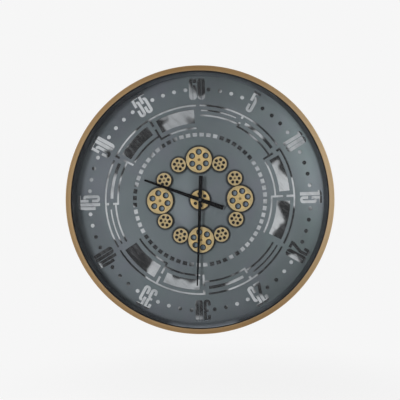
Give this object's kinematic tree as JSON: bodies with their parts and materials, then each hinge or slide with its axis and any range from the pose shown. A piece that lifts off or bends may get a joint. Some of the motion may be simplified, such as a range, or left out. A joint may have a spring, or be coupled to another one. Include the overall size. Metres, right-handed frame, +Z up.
{
  "type": "wall clock",
  "caption": "Round wall clock with a bronze hoop, a mirror behind a cut-out grey dial, and a ring of turning gold and black gears round plain black hands.",
  "frame": {"origin": "point on the wall plane, on the axis of the hands", "axes": "+Z up to twelve o'clock, +Y into the wall, front facing -Y, +X to three o'clock seen from the front"},
  "size_m": [0.6, 0.076, 0.6],
  "materials": {
    "bronze_lacquer": "satin bronze-gold lacquer",
    "black_rubber": "matt black rubber",
    "clear_glass": "clear flat glass",
    "grey_wall": "dark grey paint",
    "blue_grey_dial": "satin blue-grey paint",
    "mirror": "silvered mirror",
    "black_pan": "black powder coat",
    "black_gear": "satin black paint",
    "gold_face": "pale gold lacquer",
    "bright_steel": "bright steel",
    "black_plastic": "black moulded plastic",
    "white_acetal": "white moulded plastic",
    "cell_wrap": "plain green sleeve",
    "black_hand": "satin black paint"
  },
  "bodies": {
    "case": {"case_hoop": "bronze_lacquer", "front_glass": "clear_glass", "glass_gasket": "black_rubber", "inner_wall": "grey_wall", "dial_plate": "blue_grey_dial", "mirror_plate": "mirror", "back_pan": "black_pan", "wall_hanger": "bright_steel", "movement_case": "black_plastic", "movement_washer": "black_rubber", "movement_nut": "bright_steel", "movement_cell": "cell_wrap", "gear_motor": "bright_steel", "battery_box": "black_plastic", "upper_cell": "cell_wrap", "lower_cell": "cell_wrap"},
    "centre_train": {"drive_sun_gear": "white_acetal", "centre_gear": "black_gear", "centre_face": "gold_face"},
    "large_train_12": {"gear_arbor_12": "bright_steel", "large_gear_12": "black_gear", "large_face_12": "gold_face"},
    "large_train_03": {"gear_arbor_03": "bright_steel", "large_gear_03": "black_gear", "large_face_03": "gold_face"},
    "large_train_06": {"gear_arbor_06": "bright_steel", "large_gear_06": "black_gear", "large_face_06": "gold_face"},
    "large_train_09": {"gear_arbor_09": "bright_steel", "large_gear_09": "black_gear", "large_face_09": "gold_face"},
    "small_train_01": {"small_gear_01": "black_gear", "small_face_01": "gold_face"},
    "small_train_02": {"small_gear_02": "black_gear", "small_face_02": "gold_face"},
    "small_train_04": {"small_gear_04": "black_gear", "small_face_04": "gold_face"},
    "small_train_05": {"small_gear_05": "black_gear", "small_face_05": "gold_face"},
    "small_train_07": {"small_gear_07": "black_gear", "small_face_07": "gold_face"},
    "small_train_08": {"small_gear_08": "black_gear", "small_face_08": "gold_face"},
    "small_train_10": {"small_gear_10": "black_gear", "small_face_10": "gold_face"},
    "small_train_11": {"small_gear_11": "black_gear", "small_face_11": "gold_face"},
    "motor_output": {"motor_gear": "white_acetal"},
    "minute_works": {"minute_shaft": "bright_steel", "minute_hand": "black_hand", "hand_cap": "bright_steel"},
    "hour_works": {"hour_tube": "bright_steel", "hour_hand": "black_hand"},
    "set_wheel": {"time_set_wheel": "black_plastic"},
    "cover": {"battery_cover": "black_plastic"}
  },
  "joints": [
    {"name": "centre_spin", "type": "hinge", "parent": "case", "child": "centre_train", "pos_m": [0, -0.0387, 0], "axis": [0, 1, 0], "continuous": true},
    {"name": "large_spin_12", "type": "hinge", "parent": "case", "child": "large_train_12", "pos_m": [0, -0.0387, 0.092], "axis": [0, 1, 0], "continuous": true},
    {"name": "large_spin_03", "type": "hinge", "parent": "case", "child": "large_train_03", "pos_m": [0.092, -0.0387, 0], "axis": [0, 1, 0], "continuous": true},
    {"name": "large_spin_06", "type": "hinge", "parent": "case", "child": "large_train_06", "pos_m": [0, -0.0387, -0.092], "axis": [0, 1, 0], "continuous": true},
    {"name": "large_spin_09", "type": "hinge", "parent": "case", "child": "large_train_09", "pos_m": [-0.092, -0.0387, 0], "axis": [0, 1, 0], "continuous": true},
    {"name": "small_spin_01", "type": "hinge", "parent": "case", "child": "small_train_01", "pos_m": [0.04691, -0.0387, 0.08125], "axis": [0, 1, 0], "continuous": true},
    {"name": "small_spin_02", "type": "hinge", "parent": "case", "child": "small_train_02", "pos_m": [0.08125, -0.0387, 0.04691], "axis": [0, 1, 0], "continuous": true},
    {"name": "small_spin_04", "type": "hinge", "parent": "case", "child": "small_train_04", "pos_m": [0.08125, -0.0387, -0.04691], "axis": [0, 1, 0], "continuous": true},
    {"name": "small_spin_05", "type": "hinge", "parent": "case", "child": "small_train_05", "pos_m": [0.04691, -0.0387, -0.08125], "axis": [0, 1, 0], "continuous": true},
    {"name": "small_spin_07", "type": "hinge", "parent": "case", "child": "small_train_07", "pos_m": [-0.04691, -0.0387, -0.08125], "axis": [0, 1, 0], "continuous": true},
    {"name": "small_spin_08", "type": "hinge", "parent": "case", "child": "small_train_08", "pos_m": [-0.08125, -0.0387, -0.04691], "axis": [0, 1, 0], "continuous": true},
    {"name": "small_spin_10", "type": "hinge", "parent": "case", "child": "small_train_10", "pos_m": [-0.08125, -0.0387, 0.04691], "axis": [0, 1, 0], "continuous": true},
    {"name": "small_spin_11", "type": "hinge", "parent": "case", "child": "small_train_11", "pos_m": [-0.04691, -0.0387, 0.08125], "axis": [0, 1, 0], "continuous": true},
    {"name": "motor_spin", "type": "hinge", "parent": "case", "child": "motor_output", "pos_m": [0.06505, -0.0247, 0.06505], "axis": [0, 1, 0], "continuous": true},
    {"name": "minute_spin", "type": "hinge", "parent": "case", "child": "minute_works", "pos_m": [0, -0.0505, 0], "axis": [0, 1, 0], "continuous": true},
    {"name": "hour_spin", "type": "hinge", "parent": "case", "child": "hour_works", "pos_m": [0, -0.0465, 0], "axis": [0, 1, 0], "continuous": true},
    {"name": "set_wheel_spin", "type": "hinge", "parent": "case", "child": "set_wheel", "pos_m": [0.016, -0.002, 0.016], "axis": [0, 1, 0], "continuous": true},
    {"name": "cover_slide", "type": "slide", "parent": "case", "child": "cover", "axis": [0, 0, -1], "range_m": [0, 0.034]}
  ],
  "couplings": [
    {"joint": "large_spin_12", "follows": "centre_spin", "ratio": -3},
    {"joint": "large_spin_03", "follows": "centre_spin", "ratio": -3},
    {"joint": "large_spin_06", "follows": "centre_spin", "ratio": -3},
    {"joint": "large_spin_09", "follows": "centre_spin", "ratio": -3},
    {"joint": "small_spin_01", "follows": "centre_spin", "ratio": 5.25},
    {"joint": "small_spin_02", "follows": "centre_spin", "ratio": 5.25},
    {"joint": "small_spin_04", "follows": "centre_spin", "ratio": 5.25},
    {"joint": "small_spin_05", "follows": "centre_spin", "ratio": 5.25},
    {"joint": "small_spin_07", "follows": "centre_spin", "ratio": 5.25},
    {"joint": "small_spin_08", "follows": "centre_spin", "ratio": 5.25},
    {"joint": "small_spin_10", "follows": "centre_spin", "ratio": 5.25},
    {"joint": "small_spin_11", "follows": "centre_spin", "ratio": 5.25},
    {"joint": "motor_spin", "follows": "centre_spin", "ratio": -3},
    {"joint": "hour_spin", "follows": "minute_spin", "ratio": 0.083333},
    {"joint": "set_wheel_spin", "follows": "minute_spin", "ratio": -3}
  ]
}
